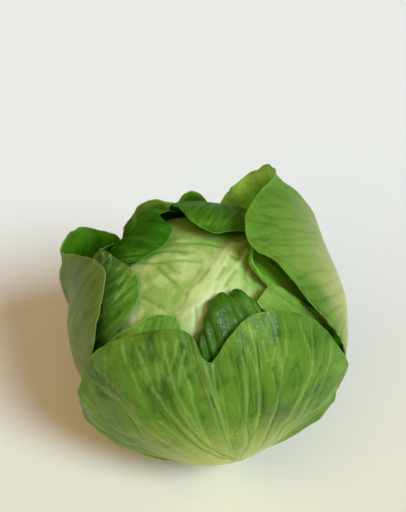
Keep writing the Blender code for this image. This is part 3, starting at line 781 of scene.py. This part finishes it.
inner_leaf_back_left = grow_leaf(
    "lipped_leaf_back_left", "inner_leaf_back_left",
    dict(layer=1, azimuth=132, neck=(130, -45), flare=32, margin=[
        (88, 25, 0, 3, 0), (92, 34, 0, 3, 0), (100, 42, 0, 3, 0), (112, 48, 1, 3, 0),
        (126, 52, 5, 5, -20), (138, 58, 10, 10, -70), (152, 64, 14, 15, -120),
        (168, 68, 14, 15, -130), (184, 69, 11, 11, -100), (197, 66, 5, 6, -40),
        (202, 60, 3, 3, 0), (200, 53, 2, 3, 0), (194, 47, 1, 3, 0), (191, 38, 0.5, 3, 0),
        (189, 28, 0.5, 3, 0), (186, 17, 0.5, 3, 0), (182, 6, 0.5, 3, 0)]),
    (110, 100), branching(7, strength=0.6, seed=8), seed=8.0)
inner_leaf_back_left.data.materials[0] = leaf_skin(
    "lipped_leaf_outside", (20, 70, 4), (50, 106, 16), (102, 156, 48), (110, 158, 58),
    gloss=0.6, shine=0.0)
inner_leaf_back_left.data.materials[1] = leaf_skin(
    "lipped_leaf_inside", (52, 112, 14), (86, 146, 32), (126, 176, 60), (134, 182, 70))


# The glossy leaf at the front right. Its wet, puckered margin curls in over the head.

curled_leaf_front = grow_leaf(
    "curled_leaf", "curled_leaf_front",
    dict(layer=2, azimuth=300, neck=(300, -45), waves=(0.9, 5, 0), margin=[
        (262, -5, 1, 3, 0), (266, 12, 2, 6, -20), (269, 24, 4, 10, -60), (273, 35, 6, 14, -85),
        (283, 43, 7, 15, -85), (297, 43, 7, 13, -75), (306, 35, 4, 10, -50), (318, 23, 1, 5, 0),
        (328, 5, 0.5, 3, 0)]),
    (130, 120), branching(8, strength=0.5, seed=11), pucker=0.5, ribs=(12, 0.8), seed=11.0)
curled_leaf_front.data.materials[0] = leaf_skin(
    "curled_leaf_outside", (28, 74, 4), (64, 110, 16), (108, 148, 38), (114, 152, 46),
    gloss=0.32, shine=0.20, quilted=0.3)
curled_leaf_front.data.materials[1] = leaf_skin(
    "curled_leaf_inside", (28, 74, 4), (62, 110, 14), (104, 146, 38), (110, 150, 46),
    gloss=0.30, shine=0.28, quilted=0.3)


# The leaf at the front left. Its margin folds over in a small hook beside the head.

hooked_leaf_front_left = grow_leaf(
    "hooked_leaf", "hooked_leaf_front_left",
    dict(layer=3, azimuth=245, neck=(240, -45), waves=(0.5, 3, 0), margin=[
        (208, -10, 1, 3, 0), (216, 2, 1.5, 4, 0), (223, 13, 2, 5, 10), (229, 21, 3, 6, 40),
        (236, 27, 5, 6, 40), (243, 33, 5, 6, 0), (250, 35, 5, 6, -10), (257, 34, 4, 5, 0),
        (262, 20, 3, 4, 0), (261, 0, 2, 3, 0)]),
    (90, 90), branching(6, strength=0.8, seed=13), seed=13.0)
hooked_leaf_front_left.data.materials[0] = leaf_skin(
    "hooked_leaf_outside", (70, 118, 30), (114, 158, 54), (156, 188, 90), (168, 194, 108),
    rim=(176, 196, 120))
hooked_leaf_front_left.data.materials[1] = leaf_skin(
    "hooked_leaf_inside", (60, 116, 34), (100, 154, 52), (144, 182, 84), (160, 188, 104))


# The leaf that is draped over the crown from behind, its torn margin lying on the head.

back_leaf_over_crown = grow_leaf(
    "crown_leaf", "back_leaf_over_crown",
    dict(layer=3, azimuth=75, neck=(78, -45), waves=(0.6, 4, 0), margin=[
        (10, 5, 0, 3, 0), (15, 30, 0, 3, 0), (14, 50, 1, 4, 0), (5, 68, 2, 4, 10),
        (350, 78, 2, 4, 10), (335, 85, 2, 4, 10), (143, 84, 3, 4, 10), (128, 78, 3, 4, 0),
        (120, 70, 3, 4, 0), (117, 60, 2, 3, 0), (111, 40, 1.5, 3, 0), (103, 8, 1, 3, 0)]),
    (130, 110), branching(8, strength=0.7, seed=17), pucker=0.6, seed=17.0)
back_leaf_over_crown.data.materials[0] = leaf_skin(
    "crown_leaf_outside", (30, 78, 8), (64, 114, 20), (112, 162, 48), (122, 166, 62),
    gloss=0.55, shine=0.04)
back_leaf_over_crown.data.materials[1] = leaf_skin(
    "crown_leaf_inside", (50, 106, 12), (84, 140, 30), (126, 172, 60), (140, 180, 84))


# The leaf at the right that is folded to a flat triangle between the curled leaf and the tall one.

folded_leaf_right = grow_leaf(
    "folded_leaf", "folded_leaf_right",
    dict(layer=4, azimuth=10, neck=(12, -45), margin=[
        (302, -5, 1.5, 3, 0), (314, 20, 1.5, 3, 0), (304, 38, 2, 3, 0), (306, 41, 2, 3, 0),
        (317, 44, 3, 3, 0), (321, 41, 3, 3, 0), (325, 34, 3, 3, 0), (331, 26, 3, 3, 0),
        (347, 20, 2, 3, 0), (370, 22, 1.5, 3, 0), (390, 16, 1.5, 3, 0), (410, 0, 1, 3, 0)]),
    (80, 80), branching(7, strength=0.4, seed=19), seed=19.0)
folded_leaf_right.data.materials[0] = leaf_skin(
    "folded_leaf_outside", (84, 122, 34), (118, 156, 56), (148, 180, 80), (158, 188, 98),
    veined=0.4)
folded_leaf_right.data.materials[1] = leaf_skin(
    "folded_leaf_inside", (66, 112, 30), (100, 146, 52), (130, 170, 76), (146, 180, 96))


# The leaf that stands out behind the head at the left, its broad tip bent over.

back_leaf_left = grow_leaf(
    "bent_leaf_back_left", "back_leaf_left",
    dict(layer=4, azimuth=125, neck=(115, -45), flare=45, waves=(0.6, 4, 0), margin=[
        (70, 0, 0.5, 3, 0), (80, 16, 1, 4, 0), (95, 20, 2, 6, 0), (106, 24, 5, 8, 10),
        (116, 28, 8, 8, 10), (124, 25, 9, 8, -10), (129, 17, 6, 6, -20), (128, 6, 1, 4, 0),
        (126, -10, 0, 3, 0)]),
    (90, 90), fanning(9, 0.4, seed=23), seed=23.0)
back_leaf_left.data.materials[0] = leaf_skin(
    "bent_leaf_outside", (60, 96, 26), (92, 126, 46), (124, 154, 72), (136, 164, 88))
back_leaf_left.data.materials[1] = leaf_skin(
    "bent_leaf_inside", (96, 140, 26), (138, 168, 54), (168, 192, 84), (172, 194, 96))


# The large outer leaf at the left. Its waxy back faces outwards, and its tip flares in a bright lip.

LIP_FOLDS = [
    [(0.61, 0.978), (0.603, 0.828)],
    [(0.698, 0.625), (0.812, 0.775)],
    [(0.728, 0.777), (0.795, 1)],
    [(0.807, 1), (0.845, 0.975)]]

outer_leaf_left = grow_leaf(
    "outer_leaf_with_lip", "outer_leaf_left",
    dict(layer=5, azimuth=195, neck=(182, -45), flare=22, waves=(0.8, 5, 0), margin=[
        (134, -24, 0.5, 3, 0), (133, -8, 1, 4, 0), (130, 1, 3, 6, 20), (134, 5, 6, 13, 50),
        (145, 9, 10, 19, 62), (157, 14, 13, 19, 57), (167, 15, 13, 14, 30), (174, 25, 9, 7, 0),
        (188, 36, 4, 4, 0), (203, 38, 3, 4, 0), (214, 27, 3, 4, 0), (219, 11, 2, 3, 0),
        (221, -8, 1, 3, 0), (228, -25, 1, 3, 0)]),
    (130, 120), fanning(11, 0.35, seed=29) + lines_of(LIP_FOLDS, 1.2, -0.7), seed=29.0)
outer_leaf_left.data.materials[0] = leaf_skin(
    "lip_leaf_outside", (72, 98, 26), (100, 126, 40), (126, 148, 62), (146, 164, 84),
    bloom=0.1, rim=(150, 166, 92))
outer_leaf_left.data.materials[1] = leaf_skin(
    "lip_leaf_inside", (50, 96, 6), (72, 118, 12), (102, 148, 32), (112, 156, 44),
    rim=(130, 150, 70), shine=0.08)


# The tall outer leaf. It hoods the right side and the back, and its tip rises highest of all. Low at
# the right its margin is folded under, so its first rows lie a little inside its layer.

# Folds of the tall leaf, painted with shade, as lines of (across, along); they run to its near margin
TALL_FOLDS = [
    [(0.49, 0.88), (0.503, 0.85), (0.51, 0.812)],
    [(0.47, 0.863), (0.47, 0.833), (0.482, 0.792), (0.505, 0.745), (0.555, 0.688)],
    [(0.45, 0.853), (0.453, 0.828), (0.45, 0.802), (0.458, 0.777), (0.475, 0.728), (0.552, 0.655)],
    [(0.41, 0.87), (0.42, 0.843), (0.43, 0.825), (0.45, 0.802)],
    [(0.403, 0.922), (0.41, 0.853), (0.422, 0.81), (0.44, 0.765), (0.47, 0.71), (0.508, 0.667)],
    [(0.39, 0.868), (0.403, 0.843), (0.415, 0.805), (0.432, 0.75), (0.465, 0.69)],
    [(0.362, 0.875), (0.372, 0.845), (0.39, 0.807), (0.41, 0.758), (0.432, 0.7)],
    [(0.302, 0.853), (0.328, 0.81), (0.38, 0.745), (0.4, 0.705), (0.42, 0.665), (0.43, 0.633)],
    [(0.255, 0.92), (0.29, 0.823), (0.345, 0.738), (0.393, 0.665), (0.417, 0.628)],
    [(0.24, 1), (0.263, 0.875)],
    [(0.238, 0.89), (0.25, 0.843), (0.283, 0.782), (0.352, 0.68), (0.405, 0.605), (0.427, 0.573)],
    [(0.208, 0.98), (0.223, 0.875), (0.27, 0.8), (0.315, 0.725)],
    [(0.188, 0.94), (0.24, 0.8), (0.29, 0.723), (0.372, 0.61), (0.4, 0.568)],
    [(0.185, 0.85), (0.253, 0.74), (0.325, 0.645), (0.39, 0.565)],
    [(0.185, 0.772), (0.238, 0.718), (0.31, 0.633), (0.372, 0.573)],
    [(0.185, 0.815), (0.253, 0.728), (0.362, 0.59)],
    [(0.782, 0.845), (0.782, 0.807)],
    [(0.83, 0.858), (0.823, 0.815)],
    [(0.863, 0.865), (0.855, 0.815)]]

tall_leaf_right = grow_leaf(
    "tall_leaf", "tall_leaf_right",
    dict(layer=5, azimuth=10, neck=(15, -45), flare=80, waves=(0.9, 7, 0.4),
         swells=[(20, 27, 13, -3), (356, 2, 24, 5.5)], margin=[
        (334, -35, -1.5, 3, 0), (350, -16, -1.5, 3, 0), (344, 4, 1, 3, 0), (330, 20, 9, 4, 0),
        (325, 35, 11, 5, 0), (323, 48, 12, 5, 0), (320, 59, 12, 5, 0), (335, 69, 13, 5, 0),
        (373, 66, 17, 8, 10), (396, 54, 21, 10, 25), (406, 42, 24, 19, 42),
        (415, 33, 23, 22, 48), (424, 28, 17, 20, 45), (432, 23, 11, 16, 35),
        (439, 16, 8, 10, 15), (446, 6, 4, 4, 0), (450, -8, 1, 3, 0)]),
    (200, 190), fanning(17, 0.35, seed=31) + lines_of(TALL_FOLDS, 1.1, -0.9), pucker=0.5,
    crowding=(0.4, 0.6), ragged=0.02, seed=31.0)
tall_leaf_right.data.materials[0] = leaf_skin(
    "tall_leaf_outside", (80, 120, 34), (102, 142, 42), (134, 166, 66), (152, 178, 88),
    foot=(216, 208, 138), foot_start=0.12, streaky=0.35, veined=0.9)
# the tall leaf's inner face, which the lamps barely reach, is painted far paler and brighter than the
# outside: painted light
tall_leaf_right.data.materials[1] = leaf_skin(
    "tall_leaf_inside_painted_light", (150, 204, 88), (186, 232, 116), (206, 240, 140), (214, 242, 156),
    rim=(120, 110, 60))


# The outer leaf at the back, with a small curled tip that shows over the crown.

outer_leaf_back = grow_leaf(
    "outer_leaf_at_back", "outer_leaf_back",
    dict(layer=6, azimuth=105, neck=(112, -45), flare=45, waves=(1.2, 5, 0), margin=[
        (78, -38, 1, 3, 0), (86, -20, 3, 3, 0), (87, -4, 5, 4, 0), (87, 8, 5, 6, 10),
        (89, 17, 5, 7, 10), (93, 24, 5, 7, 20), (98, 25, 5, 7, 30), (101, 18, 6, 6, 20),
        (108, 8, 6, 6, 10), (122, 1, 6, 5, 0), (139, -4, 6, 3, 0), (150, -16, 4, 3, 0),
        (156, -30, 2, 3, 0)]),
    (90, 90), fanning(11, 0.4, seed=37), seed=37.0)
outer_leaf_back.data.materials[0] = leaf_skin(
    "back_leaf_outside", (96, 122, 40), (122, 148, 58), (148, 172, 84), (158, 182, 98))
outer_leaf_back.data.materials[1] = leaf_skin(
    "back_leaf_inside", (64, 118, 18), (98, 148, 38), (130, 170, 66), (142, 176, 84),
    rim=(120, 110, 60))


# The largest outer leaf. It covers the whole front, with a deep notch at its tip, and its veins fan
# out from the bottom of the cabbage.

# Folds of the front leaf, painted with shade, and its pale streaks, some of them painted highlights, as
# lines of (across, along)
FRONT_FOLDS = [
    [(0.515, 0.403), (0.41, 0.405), (0.367, 0.468), (0.35, 0.532), (0.343, 0.59), (0.34, 0.635)],
    [(0.517, 0.375), (0.39, 0.38), (0.343, 0.45), (0.328, 0.515), (0.318, 0.588), (0.307, 0.638),
     (0.302, 0.695), (0.3, 0.738), (0.3, 0.777), (0.297, 0.825), (0.292, 0.873), (0.29, 0.958)],
    [(0.193, 0.81), (0.215, 0.753), (0.23, 0.705), (0.228, 0.65), (0.215, 0.6), (0.185, 0.56)],
    [(0.568, 0.828), (0.568, 0.79), (0.57, 0.753), (0.568, 0.715), (0.562, 0.672), (0.555, 0.625),
     (0.535, 0.593), (0.52, 0.57)],
    [(0.59, 0.83), (0.593, 0.797), (0.6, 0.76), (0.593, 0.718), (0.588, 0.67), (0.575, 0.618),
     (0.573, 0.56), (0.585, 0.497), (0.578, 0.443), (0.547, 0.393)],
    [(0.64, 0.812), (0.635, 0.775), (0.635, 0.745), (0.633, 0.715), (0.635, 0.68), (0.638, 0.638),
     (0.633, 0.58), (0.62, 0.527), (0.59, 0.492), (0.568, 0.443), (0.542, 0.375)],
    [(0.67, 0.73), (0.675, 0.698), (0.682, 0.655), (0.688, 0.635), (0.688, 0.598), (0.682, 0.547),
     (0.677, 0.492), (0.672, 0.425), (0.662, 0.372), (0.62, 0.362)],
    [(0.705, 0.755), (0.698, 0.718), (0.69, 0.68), (0.688, 0.652), (0.688, 0.635)],
    [(0.723, 0.72), (0.705, 0.677), (0.693, 0.642)],
    [(0.735, 0.74), (0.745, 0.718), (0.75, 0.682), (0.748, 0.64), (0.738, 0.578), (0.743, 0.5),
     (0.75, 0.417)],
    [(0.815, 0.768), (0.807, 0.715), (0.785, 0.647), (0.782, 0.595), (0.782, 0.527), (0.807, 0.46)],
    [(0.868, 0.785), (0.853, 0.708), (0.838, 0.625), (0.835, 0.537)],
    [(0.922, 0.873), (0.888, 0.768), (0.88, 0.695), (0.888, 0.642)],
    [(0.672, 0.932), (0.67, 0.868), (0.672, 0.858)],
    [(0.768, 0.848), (0.77, 0.825)]]
FRONT_STREAKS_AND_HIGHLIGHTS = [
    [(0.365, 0.53), (0.352, 0.583), (0.355, 0.625), (0.362, 0.662), (0.36, 0.688)],
    [(0.283, 0.878), (0.285, 0.83), (0.288, 0.785), (0.288, 0.735), (0.285, 0.685)],
    [(0.362, 0.858), (0.357, 0.828), (0.345, 0.792), (0.328, 0.745)],
    [(0.338, 0.818), (0.335, 0.785), (0.33, 0.75), (0.323, 0.715), (0.318, 0.685)],
    [(0.318, 0.868), (0.325, 0.835)],
    [(0.31, 0.843), (0.312, 0.812), (0.318, 0.78), (0.315, 0.75)],
    [(0.39, 0.863), (0.38, 0.828), (0.362, 0.787), (0.352, 0.745), (0.345, 0.71)],
    [(0.405, 0.835), (0.385, 0.787), (0.372, 0.743), (0.362, 0.713)],
    [(0.395, 0.743), (0.393, 0.695), (0.38, 0.67)],
    [(0.51, 0.92), (0.5, 0.838), (0.497, 0.782), (0.515, 0.735)],
    [(0.198, 0.845), (0.217, 0.787), (0.238, 0.728), (0.247, 0.672), (0.245, 0.618)],
    [(0.217, 0.868), (0.233, 0.818), (0.245, 0.765), (0.255, 0.708), (0.258, 0.655)],
    [(0.138, 0.86), (0.173, 0.76), (0.177, 0.685), (0.17, 0.64)],
    [(0.235, 0.688), (0.235, 0.645), (0.225, 0.603), (0.2, 0.568)],
    [(0.292, 0.62), (0.3, 0.575), (0.31, 0.52), (0.318, 0.458), (0.35, 0.388)],
    # the last five streaks are painted highlights: short glints on the right lobe, painted in the pale vein
    # colour
    [(0.64, 0.853), (0.642, 0.83)],
    [(0.657, 0.818), (0.657, 0.787)],
    [(0.657, 0.782), (0.66, 0.753)],
    [(0.68, 0.79), (0.672, 0.753), (0.667, 0.733)],
    [(0.71, 0.807), (0.705, 0.763), (0.698, 0.723)]]

front_veins = fanning(15, 0.4, seed=41) + lines_of(FRONT_FOLDS, 1.0, -0.9)
front_veins = front_veins + lines_of(FRONT_STREAKS_AND_HIGHLIGHTS, 1.0, 0.3)
outer_leaf_front = grow_leaf(
    "front_leaf", "outer_leaf_front",
    dict(layer=6, azimuth=285, neck=(289, -44), neck_width=0.034, flare=38, waves=(0.8, 7, 1),
         swells=[(280, -48, 24, 4.5)], margin=[
        (227, -37, 2, 5, 5), (215, -30, 10, 7, 15), (215, -16, 4, 5, 0), (222, 9, 1, 4, 0),
        (235, 23, 1, 4, 0), (251, 31, 1, 4, 0), (264, 31, 1, 4, 0), (273, 20, 1, 4, 0),
        (283, 30, 1, 4, 0), (294, 35, 1, 4, 0), (309, 33, 1, 4, 0), (322, 24, 2, 4, 0),
        (330, 9, 4, 4, 0), (339, -11, 8, 4, 0), (338, -27, 9, 5, 10)]),
    (215, 215), front_veins, pucker=0.6, ribs=(9, 1.1), ragged=0.025, seed=41.0)
outer_leaf_front.data.materials[0] = leaf_skin(
    "front_leaf_outside", (54, 94, 12), (92, 132, 30), (142, 168, 56), (180, 202, 112),
    foot=(214, 218, 126), gloss=0.34, shine=0.14, streaky=0.5, bloom=0.04)
outer_leaf_front.data.materials[1] = leaf_skin(
    "front_leaf_inside", (60, 104, 20), (92, 136, 40), (126, 162, 66), (140, 172, 86))
